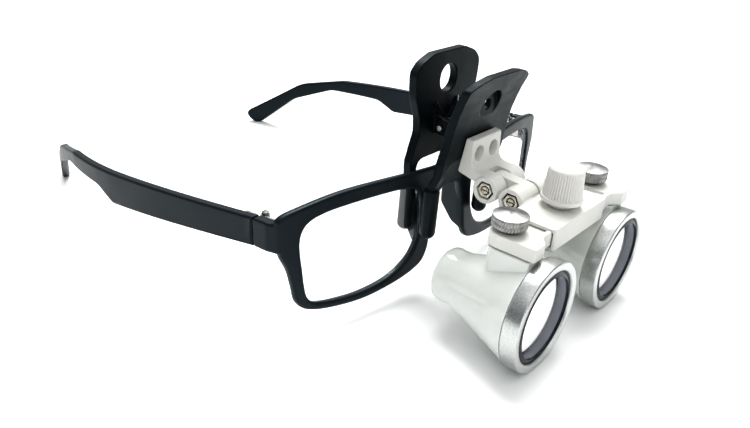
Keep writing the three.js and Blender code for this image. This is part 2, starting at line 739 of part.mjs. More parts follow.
function buildPinion() {
  const outline = [];
  for (let i = 0; i < PINION_TEETH; i += 1) {
    const middle = Math.PI / 2 + i * 2 * Math.PI / PINION_TEETH;
    const stations = [
      [-TOOTH_HALF - 0.16, PITCH_R - TOOTH_DEDENDUM],
      [-TOOTH_HALF, PITCH_R],
      [-TOOTH_HALF + 0.22, PITCH_R + TOOTH_ADDENDUM],
      [TOOTH_HALF - 0.22, PITCH_R + TOOTH_ADDENDUM],
      [TOOTH_HALF, PITCH_R],
      [TOOTH_HALF + 0.16, PITCH_R - TOOTH_DEDENDUM],
    ];
    for (const [offset, radius] of stations) {
      const angle = middle + offset / PITCH_R;
      outline.push(new THREE.Vector2(radius * Math.cos(angle), KNOB_Y + radius * Math.sin(angle)));
    }
  }
  const gear = alongZ(outline, RAIL_LOW + 0.2, RAIL_HIGH - 0.2);
  const journal = alongZ(circle(1.45, 0, KNOB_Y, 16), HOUSING_BOTTOM + 0.3, RAIL_LOW + 1);
  const shaft = alongZ(circle(2.15, 0, KNOB_Y, 20), RAIL_HIGH - 1, 47);
  return join(gear, journal, shaft);
}

addNode('pinion', buildPinion(), 'steel');

// Ribbed knob: a neck, a smooth flange and a tapered grip with upright ribs.
const KNOB_RIBS = 30;

function buildKnob() {
  const outline = (radius) => {
    const points = [];
    for (let i = 0; i < KNOB_RIBS * 2; i += 1) {
      const r = i % 2 === 0 ? radius : radius - 0.28;
      const angle = i * Math.PI / KNOB_RIBS;
      points.push(new THREE.Vector2(r * Math.cos(angle), r * Math.sin(angle)));
    }
    return points;
  };
  const grip = reshaped(alongZ(outline(6.15), 0, 8.6), (x, y, z) => {
    const taper = 1 - 0.012 * z;
    return [x * taper, KNOB_Y + y * taper, z + 44.5];
  });
  const body = turnedZ([
    [0, HOUSING_TOP + GAP],
    [4.0, HOUSING_TOP + GAP],
    [4.0, 42.7],
    [6.2, 42.7],
    [6.55, 43.1],
    [6.55, 44.1],
    [6.2, 44.6],
    [0, 44.6],
  ], 0, KNOB_Y, 24);
  const cap = turnedZ([
    [0, 53.0],
    [5.4, 53.0],
    [4.9, 53.7],
    [0, 53.7],
  ], 0, KNOB_Y, 24);
  const bore = alongZ(circle(2.3, 0, KNOB_Y, 20), 40, 47.3);
  return cut(join(body, grip, cap), bore);
}

addNode('adjusting_knob', buildKnob(), 'white');

// A slider: block that carries a telescope, neck, wide rail and a toothed bar.
const RAIL_END = 10.8;
const RACK_TIP = 10.2;

function rackOutline(side) {
  const pitchLine = PITCH_R;
  const toothPitch = Math.PI * TOOTH_MODULE;
  const points = [new THREE.Vector2(RAIL_END + 1, RAIL_REAR - KNOB_Y)];
  points.push(new THREE.Vector2(-RACK_TIP, RAIL_REAR - KNOB_Y));
  points.push(new THREE.Vector2(-RACK_TIP, pitchLine + TOOTH_DEDENDUM));
  const root = pitchLine + TOOTH_DEDENDUM;
  const tip = pitchLine - TOOTH_ADDENDUM;
  for (let k = -6; k < 6; k += 1) {
    const middle = (k + 0.5) * toothPitch;
    points.push(new THREE.Vector2(middle - TOOTH_HALF - TOOTH_SLOPE * TOOTH_DEDENDUM, root));
    points.push(new THREE.Vector2(middle - TOOTH_HALF + TOOTH_SLOPE * TOOTH_ADDENDUM, tip));
    points.push(new THREE.Vector2(middle + TOOTH_HALF - TOOTH_SLOPE * TOOTH_ADDENDUM, tip));
    points.push(new THREE.Vector2(middle + TOOTH_HALF + TOOTH_SLOPE * TOOTH_DEDENDUM, root));
  }
  points.push(new THREE.Vector2(RAIL_END + 1, root));
  // The right slider's bar runs in front of the pinion, the left one's behind it.
  return points.map((p) => new THREE.Vector2(side * p.x, KNOB_Y + side * p.y));
}

function buildSlider(side) {
  const block = mirrored(alongZ(roundedOutline([
    [30.8, -50.0, 0.8],
    [25.6, -50.0, 0.6],
    [22.2, RAIL_FRONT - 0.2, 0.5],
    [HOUSING_HALF + GAP, RAIL_FRONT - 0.2, 0],
    [HOUSING_HALF + GAP, RAIL_FRONT + 1.3, 0],
    [21.0, RAIL_FRONT + 1.3, 0.3],
    [21.0, -33.2, 4],
    [30.8, -33.2, 4],
  ]), BLOCK_BOTTOM, BLOCK_TOP), side);
  const rail = mirrored(box(RAIL_END, 22, RAIL_FRONT, RAIL_REAR, RAIL_LOW, RAIL_HIGH), side);
  const under = mirrored(box(HOUSING_HALF + 3.6, 32, -60, -20, 30, BLOCK_BOTTOM), side);
  const rack = alongZ(rackOutline(side), RAIL_LOW, RAIL_HIGH);
  const screwHole = alongZ(circle(1.7, side * THUMB_X, THUMB_Y, 16), 30, 45);
  return cut(join(block, cut(rail, under), rack), screwHole);
}

// ---------------------------------------------------------------- thumbscrews

const KNURLS = 20;

function buildThumbscrew(side) {
  const [x, y] = [side * THUMB_X, THUMB_Y];
  const knurl = [];
  for (let i = 0; i < KNURLS * 2; i += 1) {
    const r = i % 2 === 0 ? 5.4 : 5.15;
    const angle = i * Math.PI / KNURLS;
    knurl.push(new THREE.Vector2(x + r * Math.cos(angle), y + r * Math.sin(angle)));
  }
  const head = alongZ(knurl, 42.0, 44.9);
  const cap = turnedZ([
    [0, 44.8], [5.15, 44.8], [5.3, 45.0], [5.05, 45.2], [2.5, 45.65], [0, 45.9],
  ], x, y, 24);
  const shoulder = turnedZ([
    [0, 31.5],
    [1.2, 31.5],
    [1.45, 31.8],
    [1.45, BLOCK_TOP + GAP],
    [3.6, BLOCK_TOP + GAP],
    [3.9, 41.4],
    [4.6, 42.1],
    [0, 42.1],
  ], x, y, 20);
  return join(head, cap, shoulder);
}

// ---------------------------------------------------------------- telescopes

function barrelOuter() {
  return [
    [0, -51.4], [15.8, -51.4], [15.8, RING_REAR + GAP], [17.1, RING_REAR + GAP],
    [16.1, -46], [14.7, -42], [13.2, -38], [11.8, -34], [10.4, -30],
    [9.5, -27], [9.0, -25], [8.85, -23], [8.95, -21.2], [8.75, -20.0], [8.35, -19.1],
    [7.8, -18.7], [0, -18.7],
  ];
}

function barrelInner() {
  return [
    [0, -52], [14.6, -52], [14.6, -46.6], [13.4, -46.6], [13.2, -44], [6.9, -26],
    [6.5, -23.4], [7.4, -23.4], [7.4, -18], [0, -18],
  ];
}

function buildBarrel(side) {
  const saddlePlan = roundedOutline([
    [31.3, RING_REAR + 0.5, 0.6],
    [22.8, RING_REAR + 0.5, 1.5],
    [21.5, RING_REAR + 3.5, 1.5],
    [21.5, -34.0, 4],
    [31.3, -34.0, 4],
  ]);
  const saddle = mirrored(alongZ(saddlePlan, 24, BLOCK_BOTTOM - GAP), side);
  const outer = turnedY(barrelOuter(), side * BARREL_X, BARREL_Z, 32);
  const inner = turnedY(barrelInner(), side * BARREL_X, BARREL_Z, 32);
  const screwHole = alongZ(circle(1.65, side * THUMB_X, THUMB_Y, 16), 31, 45);
  return cut(join(outer, saddle), inner, screwHole);
}

const RING_PROFILE = [
  [RING_R, RING_REAR], [16.1, RING_REAR], [16.1, -51.7], [14.6, -51.7],
  [14.6, -53.8], [14.9, RING_FRONT], [17.0, RING_FRONT], [RING_R, -53.8], [RING_R, RING_REAR],
];
const RETAINER_PROFILE = [
  [14.3, -49.9], [13.0, -49.9], [13.5, -53.4], [13.8, -53.7], [14.3, -53.7], [14.3, -49.9],
];
const EYE_RING_PROFILE = [
  [7.1, -18.9], [6.2, -18.9], [5.8, -19.3], [5.8, -20.5], [7.1, -20.5], [7.1, -18.9],
];

// A lens from its edge radius and, front and back, the edge's y and the vertex's y.
function lensProfile(radius, frontEdge, frontVertex, backEdge, backVertex) {
  const steps = 4;
  const profile = [];
  for (let i = 0; i <= steps; i += 1) {
    const r = radius * i / steps;
    profile.push([r, frontVertex + (frontEdge - frontVertex) * (i / steps) ** 2]);
  }
  for (let i = steps; i >= 0; i -= 1) {
    const r = radius * i / steps;
    profile.push([r, backVertex + (backEdge - backVertex) * (i / steps) ** 2]);
  }
  return profile;
}

for (const [name, side] of SIDES) {
  const x = side * BARREL_X;
  const objective = lensProfile(14.3, -49.6, -51.1, -46.9, -46.5);
  const eyepiece = lensProfile(7.1, -23.1, -22.4, -20.8, -21.4);
  addNode(`bracket_screw_${name}`, buildBracketScrew(side), 'steel');
  addNode(`slider_${name}`, buildSlider(side), 'white');
  addNode(`thumbscrew_${name}`, buildThumbscrew(side), 'silver');
  addNode(`barrel_${name}`, buildBarrel(side), 'pearl');
  addNode(`objective_ring_${name}`, turnedY(RING_PROFILE, x, BARREL_Z, 40), 'silver');
  addNode(`objective_retainer_${name}`, turnedY(RETAINER_PROFILE, x, BARREL_Z, 32), 'black');
  addNode(`objective_lens_${name}`, turnedY(objective, x, BARREL_Z, 32), 'glass');
  addNode(`eyepiece_lens_${name}`, turnedY(eyepiece, x, BARREL_Z, 24), 'glass');
  addNode(`eyepiece_ring_${name}`, turnedY(EYE_RING_PROFILE, x, BARREL_Z, 24), 'black');
}

// ---------------------------------------------------------------- origin

const bounds = new THREE.Box3().setFromObject(assembly, true);
const middle = bounds.getCenter(new THREE.Vector3());
assembly.position.set(-middle.x, -middle.y, -bounds.min.z);

export default assembly;
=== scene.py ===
"""Looks for the clip-on binocular loupes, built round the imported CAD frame.

Lengths in the tables below are millimetres in the drawing frame: z = 0 where the object
lies, y = 0 at the bridge of the spectacles, -Y the way the wearer looks, +X their left.
at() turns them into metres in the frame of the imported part.
"""

import math

import bmesh
import bpy
from mathutils import Matrix, Vector


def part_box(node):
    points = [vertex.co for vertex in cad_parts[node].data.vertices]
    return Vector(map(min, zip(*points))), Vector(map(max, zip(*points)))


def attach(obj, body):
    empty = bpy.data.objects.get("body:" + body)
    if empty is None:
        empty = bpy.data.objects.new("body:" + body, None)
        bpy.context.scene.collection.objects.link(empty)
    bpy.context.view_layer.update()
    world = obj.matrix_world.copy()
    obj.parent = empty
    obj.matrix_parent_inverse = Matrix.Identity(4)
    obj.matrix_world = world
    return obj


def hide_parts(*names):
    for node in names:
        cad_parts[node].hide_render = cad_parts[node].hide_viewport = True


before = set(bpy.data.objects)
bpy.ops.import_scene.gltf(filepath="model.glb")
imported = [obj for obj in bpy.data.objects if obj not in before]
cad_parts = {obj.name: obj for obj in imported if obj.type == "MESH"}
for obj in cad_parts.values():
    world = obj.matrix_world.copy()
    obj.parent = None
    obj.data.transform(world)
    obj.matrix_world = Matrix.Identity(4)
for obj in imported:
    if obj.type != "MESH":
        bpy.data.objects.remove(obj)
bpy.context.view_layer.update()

MM = 0.001
RING_FRONT = -54.2
KNOB_TOP = 53.7
SHIFT = Vector((
    0.0,
    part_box("objective_ring_right")[0][1] - RING_FRONT * MM,
    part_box("adjusting_knob")[1][2] - KNOB_TOP * MM,
))
SIDES = (("right", -1), ("left", 1))

FRONT_TILT = -0.0645
LENS_MID_HEIGHT = 25.4
RIM_THICKNESS = 2.6
SEAM_X = 72.1
SEAM_Y = 17.2
BARREL_X, BARREL_Z = 24.6, 17.4
THUMB_X, THUMB_Y = 25.7, -38.1
KNOB_Y = -40.7
FINGER_X = 15.4
FIELD_OFFSET = (0.75, -0.6)     # of the glowing disc of painted light from the axis of its telescope, X and Z; off centre, it shows the black ring behind it as a crescent of painted shade


def at(x, y, z):
    return Vector((x, y, z)) * MM + SHIFT


def in_spectacles(x, y, z):
    """A point in the spectacles' own upright frame, brought to where they lie."""
    c, s = math.cos(FRONT_TILT), math.sin(FRONT_TILT)
    return at(x, y * c - z * s, y * s + z * c + LENS_MID_HEIGHT)


# ------------------------------------------------------------------ materials

def shader(name, color, roughness, metallic=0.0, **more):
    """A Principled material; returns it with its tree and its shader node."""
    material = bpy.data.materials.new(name)
    material.use_nodes = True
    tree = material.node_tree
    principled = tree.nodes["Principled BSDF"]
    principled.inputs["Base Color"].default_value = (*color, 1)
    principled.inputs["Roughness"].default_value = roughness
    principled.inputs["Metallic"].default_value = metallic
    for key, value in more.items():
        principled.inputs[key.replace("_", " ")].default_value = value
    return material, tree, principled


def noise(tree, scale, detail=3.0, rough=0.55):
    coords = tree.nodes.new("ShaderNodeTexCoord")
    texture = tree.nodes.new("ShaderNodeTexNoise")
    texture.inputs["Scale"].default_value = scale
    texture.inputs["Detail"].default_value = detail
    texture.inputs["Roughness"].default_value = rough
    tree.links.new(coords.outputs["Object"], texture.inputs["Vector"])
    return texture.outputs["Fac"]


def spread(tree, value, low, high, start=0.3, end=0.7):
    """Maps a noise to the numbers low to high."""
    ranged = tree.nodes.new("ShaderNodeMapRange")
    ranged.inputs["From Min"].default_value = start
    ranged.inputs["From Max"].default_value = end
    ranged.inputs["To Min"].default_value = low
    ranged.inputs["To Max"].default_value = high
    tree.links.new(value, ranged.inputs["Value"])
    return ranged.outputs["Result"]


def tint(tree, value, dark, light, start=0.3, end=0.7):
    ramp = tree.nodes.new("ShaderNodeValToRGB")
    ramp.color_ramp.elements[0].position = start
    ramp.color_ramp.elements[0].color = (*dark, 1)
    ramp.color_ramp.elements[1].position = end
    ramp.color_ramp.elements[1].color = (*light, 1)
    tree.links.new(value, ramp.inputs["Fac"])
    return ramp.outputs["Color"]


def bump(tree, principled, heights, strength, distance):
    """Adds bumps from several noises, the coarsest first."""
    previous = None
    for height, share in heights:
        made = tree.nodes.new("ShaderNodeBump")
        made.inputs["Strength"].default_value = strength * share
        made.inputs["Distance"].default_value = distance
        tree.links.new(height, made.inputs["Height"])
        if previous:
            tree.links.new(previous.outputs["Normal"], made.inputs["Normal"])
        previous = made
    tree.links.new(previous.outputs["Normal"], principled.inputs["Normal"])


def textured(name, dark, light, roughness, metallic=0.0, cloud=40, grain=2500,
             grain_strength=0.25, grain_depth=0.00004, rough_low=None, rough_high=None, **more):
    """A surface with cloudy colour, uneven gloss and a fine grain."""
    material, tree, principled = shader(name, light, roughness, metallic, **more)
    clouds = noise(tree, cloud)
    tree.links.new(tint(tree, clouds, dark, light), principled.inputs["Base Color"])
    patches = noise(tree, cloud * 3.1, 4.0)
    low = roughness * 0.85 if rough_low is None else rough_low
    high = roughness * 1.15 if rough_high is None else rough_high
    tree.links.new(spread(tree, patches, low, high), principled.inputs["Roughness"])
    fine = noise(tree, grain, 2.0)
    wide = noise(tree, grain / 6, 2.0)
    bump(tree, principled, [(wide, 0.4), (fine, 1.0)], grain_strength, grain_depth)
    return material


BLUISH = (0.72, 0.92, 1.0, 1)
BLACK_FRAME = textured("frame_plastic", (0.0020, 0.0036, 0.0058), (0.0042, 0.0068, 0.0100), 0.36,
                       cloud=30, grain=4200, grain_strength=0.14, Specular_IOR_Level=0.2,
                       Specular_Tint=BLUISH)
CLIP_PLASTIC = textured("clip_plastic", (0.0018, 0.0032, 0.0044), (0.0042, 0.0064, 0.0080), 0.44,
                        cloud=60, grain=2600, grain_strength=0.24, Specular_IOR_Level=0.13,
                        Specular_Tint=BLUISH)
RUBBER = textured("finger_rubber", (0.0015, 0.002, 0.0025), (0.0035, 0.0045, 0.0055), 0.42,
                  cloud=90, grain=3800, grain_strength=0.2, Specular_IOR_Level=0.2,
                  Specular_Tint=BLUISH)
WHITE = textured("white_plastic", (0.625, 0.62, 0.585), (0.70, 0.695, 0.66), 0.42,
                 cloud=55, grain=2200, grain_strength=0.16)
PEARL = textured("pearl_plastic", (0.60, 0.62, 0.59), (0.67, 0.69, 0.66), 0.2,
                 cloud=70, grain=700, grain_strength=0.05, rough_low=0.14, rough_high=0.24,
                 Coat_Weight=0.6, Coat_Roughness=0.06)
SILVER = textured("ring_aluminium", (0.40, 0.415, 0.405), (0.60, 0.61, 0.60), 0.26, 1.0,
                  cloud=2600, grain=3200, grain_strength=0.5, grain_depth=0.00003,
                  rough_low=0.2, rough_high=0.36)
CHROME = textured("thumbscrew_metal", (0.20, 0.20, 0.197), (0.36, 0.36, 0.352), 0.42, 1.0,
                  cloud=500, grain=4500, grain_strength=0.12, rough_low=0.36, rough_high=0.48,
                  Anisotropic=0.55)
NICKEL = textured("nickel", (0.26, 0.24, 0.195), (0.48, 0.45, 0.385), 0.26, 1.0,
                  cloud=800, grain=4000, grain_strength=0.2)
STEEL = textured("steel", (0.36, 0.36, 0.35), (0.58, 0.57, 0.56), 0.3, 1.0,
                 cloud=700, grain=4200, grain_strength=0.2)
# Painted shade: near-black for the sheet that fills the gap round the nuts.
PAINTED_GAP_SHADE = textured("painted_gap_shade", (0.012, 0.012, 0.012), (0.03, 0.029, 0.027), 0.4, 0.9,
                      cloud=700, grain=3600, grain_strength=0.2)
BLACK_RING = textured("black_ring", (0.0015, 0.0015, 0.006), (0.003, 0.003, 0.012), 0.3,
                      cloud=300, grain=3000, grain_strength=0.08, Specular_IOR_Level=0.25)
INNER_WALL = textured("inner_wall", (0.13, 0.136, 0.158), (0.16, 0.166, 0.19), 0.40,
                      cloud=60, grain=2600, grain_strength=0.02)


def brush_round(material):
    """Lets the brushing of a turned part run round its Z axis."""
    tree = material.node_tree
    tangent = tree.nodes.new("ShaderNodeTangent")
    tangent.direction_type = "RADIAL"
    tangent.axis = "Z"
    tree.links.new(tangent.outputs["Tangent"], tree.nodes["Principled BSDF"].inputs["Tangent"])


brush_round(CHROME)


def glass(name, color, alpha, roughness_low, roughness_high, **more):
    """Clear glass with faint smears in its gloss."""
    material, tree, principled = shader(name, color, roughness_low, 0.0, Alpha=alpha, **more)
    smears = noise(tree, 90, 5.0, 0.7)
    ranged = spread(tree, smears, roughness_low, roughness_high, 0.45, 0.8)
    tree.links.new(ranged, principled.inputs["Roughness"])
    material.use_transparent_shadow = True
    return material


SPECTACLE_LENS = glass("spectacle_lens", (0.93, 0.97, 0.94), 0.08, 0.02, 0.10,
                       Transmission_Weight=1.0, IOR=1.45, Coat_Weight=1.0, Coat_Roughness=0.02)
OPTICAL_GLASS = glass("optical_glass", (0.98, 0.985, 1.0), 0.12, 0.01, 0.04,
                      Transmission_Weight=1.0, IOR=1.52, Coat_Weight=1.0, Coat_Roughness=0.01)


def painted_glow_material():
    """Painted light: an evenly glowing white disc that stands in for the bright field seen in the
    objective.
    """
    material, tree, principled = shader("glowing_field_disc", (0.9, 0.9, 0.9), 0.3,
                                        Emission_Strength=0.55)
    clouds = noise(tree, 60)
    color = tint(tree, clouds, (0.93, 0.94, 0.95), (1.0, 1.0, 1.0))
    tree.links.new(color, principled.inputs["Base Color"])
    tree.links.new(color, principled.inputs["Emission Color"])
    return material


PAINTED_LIGHT_FIELD = painted_glow_material()


# ------------------------------------------------------------------ mesh helpers

def to_object(name, bm, material, sharp_degrees=None, weighted=False):
    """A smooth shaded object from a bmesh, with sharp edges where the angle is large."""
    bmesh.ops.recalc_face_normals(bm, faces=bm.faces)
    mesh = bpy.data.meshes.new(name)
    bm.to_mesh(mesh)
    bm.free()
    mesh.shade_smooth()
    if sharp_degrees:
        mesh.set_sharp_from_angle(angle=math.radians(sharp_degrees))
    mesh.materials.append(material)
    made = bpy.data.objects.new(name, mesh)
    bpy.context.scene.collection.objects.link(made)
    if weighted:
        made.modifiers.new("even_normals", "WEIGHTED_NORMAL").keep_sharp = True
    return made


def settle(piece, body, slot, *nodes):
    """Puts a piece on its body, in place of the CAD nodes it stands for; the slot is not used."""
    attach(piece, body)
    if nodes:
        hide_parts(*nodes)
    return piece


def rounded(corners, steps=6):
    """A closed outline through corners (u, v, radius), each rounded by its radius."""
    points = []
    count = len(corners)
    for i, (u, v, radius) in enumerate(corners):
        corner = Vector((u, v))
        if radius == 0:
            points.append(corner)
            continue
        back = Vector(corners[i - 1][:2]) - corner
        ahead = Vector(corners[(i + 1) % count][:2]) - corner
        half = back.angle(ahead) / 2
        reach = min(radius / math.tan(half), back.length * 0.49, ahead.length * 0.49)
        start = corner + back.normalized() * reach
        end = corner + ahead.normalized() * reach
        for k in range(steps + 1):
            t = k / steps
            points.append(start * (1 - t) ** 2 + corner * (2 * t * (1 - t)) + end * t * t)
    return points


def smooth_through(points, closed, per_span=6):
    """A centripetal Catmull-Rom curve through the points (u, v)."""
    pts = [Vector(p) for p in points]
    count = len(pts)

    def pick(i):
        if closed:
            return pts[i % count]
        if i < 0:
            return pts[0] * 2 - pts[1]
        if i >= count:
            return pts[-1] * 2 - pts[-2]
        return pts[i]

    made = []
    for i in range(count if closed else count - 1):
        p0, p1, p2, p3 = (pick(i + k) for k in (-1, 0, 1, 2))
        d1, d2, d3 = ((b - a).length ** 0.5 for a, b in ((p0, p1), (p1, p2), (p2, p3)))
        m1 = (p1 - p0) / d1 - (p2 - p0) / (d1 + d2) + (p2 - p1) / d2
        m2 = (p2 - p1) / d2 - (p3 - p1) / (d2 + d3) + (p3 - p2) / d3
        m1, m2 = m1 * d2, m2 * d2
        for k in range(per_span):
            t = k / per_span
            made.append(
                p1 * (2 * t ** 3 - 3 * t ** 2 + 1) + m1 * (t ** 3 - 2 * t ** 2 + t)
                + p2 * (3 * t ** 2 - 2 * t ** 3) + m2 * (t ** 3 - t ** 2))
    if not closed:
        made.append(pts[-1])
    return made


def mirrored_outline(half):
    """A whole outline from its half with x > 0."""
    return list(half) + [Vector((-p.x, p.y)) for p in reversed(half)]


def signed_area(loop):
    return sum(a.x * b.y - b.x * a.y for a, b in zip(loop, loop[1:] + loop[:1])) / 2


def inset_loop(loop, distance):
    """Moves a loop to its left; concave corners and short sides stay put enough."""
    moved = []
    count = len(loop)
    for i, p in enumerate(loop):
        before = (p - loop[i - 1]).normalized()
        after = (loop[(i + 1) % count] - p).normalized()
        n1 = Vector((-before.y, before.x))
        n2 = Vector((-after.y, after.x))
        both = (n1 + n2).normalized()
        stretch = min(1 / max(both.dot(n1), 0.5), 1.6)
        moved.append(p + both * distance * stretch)
    return moved


def plate(name, outer, holes, depth, edge, place, material, u_cuts=(), v_cuts=(), steps=4):
    """A plate with rounded rims. place(u, v, w) puts a point; w runs through the depth."""
    loops = [list(outer)] + [list(h) for h in holes]
    loops[0] = loops[0] if signed_area(loops[0]) > 0 else loops[0][::-1]
    for i in range(1, len(loops)):
        loops[i] = loops[i] if signed_area(loops[i]) < 0 else loops[i][::-1]
    levels = []
    for k in range(steps + 1):
        angle = math.pi / 2 * k / steps
        levels.append((edge * (1 - math.sin(angle)), edge * (1 - math.cos(angle))))
    levels += [(inset, depth - w) for inset, w in reversed(levels)]
    bm = bmesh.new()
    rows = [[] for _ in levels]
    for loop in loops:
        for row, (inset, w) in zip(rows, levels):
            row.append([bm.verts.new((p.x, p.y, w)) for p in inset_loop(loop, inset)])
    for below, above in zip(rows, rows[1:]):
        for a, b in zip(below, above):
            count = len(a)
            for i in range(count):
                j = (i + 1) % count
                bm.faces.new((a[i], a[j], b[j], b[i]))
    for row in (rows[0], rows[-1]):
        edges = []
        for ring in row:
            edges += [bm.edges.get((ring[i - 1], ring[i])) for i in range(len(ring))]
        bmesh.ops.triangle_fill(bm, use_beauty=True, use_dissolve=False, edges=edges)
    for axis, cuts in ((0, u_cuts), (1, v_cuts)):
        normal = Vector((1, 0, 0)) if axis == 0 else Vector((0, 1, 0))
        for c in cuts:
            bmesh.ops.bisect_plane(bm, geom=bm.verts[:] + bm.edges[:] + bm.faces[:],
                                   plane_co=normal * c, plane_no=normal)
    for v in bm.verts:
        v.co = place(*v.co)
    return to_object(name, bm, material, weighted=True)


def lathe(name, profile, centre, along, material, sides=96, sharp=32, radius_at=None):
    """Turns a profile of (radius, height) in mm about a line along Y or Z through centre."""
    bm = bmesh.new()
    rows = []
    for r, h in profile:
        if r < 1e-6:
            rows.append([bm.verts.new(spun(0, 0, h, centre, along))])
            continue
        row = []
        for i in range(sides):
            angle = 2 * math.pi * i / sides
            radius = r if radius_at is None else radius_at(r, h, angle)
            row.append(bm.verts.new(spun(radius * math.cos(angle), radius * math.sin(angle),
                                         h, centre, along)))
        rows.append(row)
    closed = len(rows[0]) > 1
    pairs = list(zip(rows, rows[1:])) + ([(rows[-1], rows[0])] if closed else [])
    for a, b in pairs:
        for i in range(sides):
            j = (i + 1) % sides
            if len(a) == 1 and len(b) == 1:
                break
            if len(a) == 1:
                bm.faces.new((a[0], b[j], b[i]))
            elif len(b) == 1:
                bm.faces.new((a[i], a[j], b[0]))
            else:
                bm.faces.new((a[i], a[j], b[j], b[i]))
    return to_object(name, bm, material, sharp)


def spun(a, b, h, centre, along):
    if along == "Y":
        return at(centre[0] + a, h, centre[1] + b)
    return at(centre[0] + a, centre[1] + b, h)


def joined(name, pieces):
    """One object from several, each keeping its shape."""
    bm = bmesh.new()
    material = pieces[0].data.materials[0]
    for piece in pieces:
        bm.from_mesh(piece.data)
        old = piece.data
        bpy.data.objects.remove(piece)
        bpy.data.meshes.remove(old)
    mesh = bpy.data.meshes.new(name)
    bm.to_mesh(mesh)
    bm.free()
    mesh.materials.append(material)
    made = bpy.data.objects.new(name, mesh)
    bpy.context.scene.collection.objects.link(made)
    return made


def evaluated(piece):
    """Replaces a piece's mesh by what its modifiers make of it."""
    graph = bpy.context.evaluated_depsgraph_get()
    mesh = bpy.data.meshes.new_from_object(piece.evaluated_get(graph))
    piece.modifiers.clear()
    piece.data = mesh
    mesh.shade_smooth()
    return piece


def moulded(name, sources, voxel, passes, material, extra=(), cutters=()):
    """Soft-edged moulding of CAD nodes, with extra pieces melted in and cutters taken out."""
    bm = bmesh.new()
    for source in sources:
        bm.from_mesh(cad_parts[source].data)
    for piece in extra:
        bm.from_mesh(piece.data)
        bpy.data.objects.remove(piece)
    mesh = bpy.data.meshes.new(name)
    bm.to_mesh(mesh)
    bm.free()
    made = bpy.data.objects.new(name, mesh)
    bpy.context.scene.collection.objects.link(made)
    for cutter in cutters:
        hollow = made.modifiers.new("hollow", "BOOLEAN")
        hollow.operation = "DIFFERENCE"
        hollow.solver = "EXACT"
        hollow.object = cutter
    remesh = made.modifiers.new("voxels", "REMESH")
    remesh.mode = "VOXEL"
    remesh.voxel_size = voxel * MM
    remesh.use_smooth_shade = True
    relax = made.modifiers.new("relax", "SMOOTH")
    relax.factor = 0.5
    relax.iterations = passes
    evaluated(made)
    for cutter in cutters:
        bpy.data.objects.remove(cutter)
    made.data.materials.clear()
    made.data.materials.append(material)
    return made


# ------------------------------------------------------------------ spectacles

def face_y(x):
    """The front face of the spectacles, which is curved in plan."""
    return -1.0 + 0.00165 * x * x


LENS_OPENING = smooth_through([
    (14.6, 6), (16.2, 10.2), (20, 12.3), (26, 13.4), (34, 14.0), (46.8, 14.3), (55.1, 13.9),
    (60.3, 12.7), (62.9, 10.6), (64.0, 7.4), (64.0, 3.5), (63.4, -2), (62.8, -7.5),
    (61.9, -11.5), (59.9, -13.9), (56.5, -15.2), (48.4, -16.5), (41.4, -17), (31.5, -16.4),
    (24.5, -14.4), (19, -11), (15.9, -6), (14.6, 0)], True, 5)
RIM_HALF = smooth_through([
    (0, 16.5), (8, 16.8), (18, 17.5), (28, 18.3), (40, 19.0), (51, 19.0), (62.9, 17.7),
    (69.4, 16.4), (71.0, 15.2), (71.2, 13.0), (70.6, 5.0), (67.9, -1.5), (66.4, -8),
    (65.6, -12), (63.4, -15.0), (59.2, -17.0), (50.6, -18.8), (41, -19.8), (32, -19.6),
    (20, -18.2), (13.4, -15.9), (10.7, -12), (9.6, -6), (8, 2), (5, 7.5), (0, 9.5)], False, 4)


def stations(start, end, step):
    """Evenly spaced places between start and end, about step apart."""
    count = max(1, round((end - start) / step))
    return [start + (end - start) * i / count for i in range(1, count)]


def on_face(u, v, w):
    return in_spectacles(u, face_y(u) + w, v)


def build_front():
    """Rims, bridge, end pieces and nose pads, melted into one moulding."""
    mirrored = [Vector((-p.x, p.y)) for p in LENS_OPENING]
    front = plate("front_sheet", mirrored_outline(RIM_HALF[1:-1]), [LENS_OPENING, mirrored],
                  RIM_THICKNESS, 0.75, on_face, BLACK_FRAME, u_cuts=stations(-72, 72, 3))
    parts = [front]
    outer = face_y(71)
    for _, side in SIDES:
        plan = rounded([
            (65.0, outer - 0.9, 0), (71.0, outer - 0.2, 2.0), (SEAM_X, outer + 4.5, 3),
            (SEAM_X, SEAM_Y, 0), (SEAM_X - 3.6, SEAM_Y, 0), (SEAM_X - 3.6, outer + 4.5, 2),
            (65.0, outer + 1.2, 0)])
        parts.append(plate("end_piece", plan, [], 9.2, 0.7,
                           lambda u, v, w, s=side: in_spectacles(s * u, v, w + 5.0),
                           BLACK_FRAME))
        pad = rounded([(0.6, 7.0, 2), (8.2, 5.6, 2.5), (9.6, -4.0, 3.5), (5.0, -10.8, 3.5),
                       (0.6, -12.6, 0.6)])
        parts.append(plate("nose_pad", pad, [], 1.8, 0.8, lambda u, v, w, s=side: in_spectacles(
            s * (w - 0.9 + 9.4 - 0.17 * v + 0.1 * (u - 1)), u, v), BLACK_FRAME))
    shell = moulded("spectacle_front", [], 0.3, 6, BLACK_FRAME,
                    extra=[evaluated(part) for part in parts])
    settle(shell, "spectacles", "frame_plastic", "frame_front")


def temple_shift(y):
    """How far the temple bows outwards, and back in behind the ear."""
    run = y - SEAM_Y
    if run < 63:
        return 4.4 * math.sin(math.pi / 2 * run / 63)
    return 4.4 - 0.0037 * (run - 63) ** 2


def build_temple(name, side):
    outline = rounded([
        (SEAM_Y + 0.3, 14.2, 0.4), (84, 11.6, 20), (112, 10.7, 14), (134, 6.6, 16),
        (161.5, -10.6, 3.5), (156, -16.6, 3.5), (138, -1.6, 14), (118, 5.4, 14),
        (92, 4.6, 10), (83, 0.4, 5), (SEAM_Y + 0.3, 5.0, 0.4)], 8)
    piece = plate(f"temple_arm_{name}", outline, [], 3.2, 0.85,
                  lambda u, v, w: in_spectacles(
                      side * (SEAM_X - w + temple_shift(u)), u, v),
                  BLACK_FRAME, u_cuts=stations(18, 162, 3), steps=5)
    settle(piece, f"{name}_temple", "frame_plastic", f"temple_{name}")


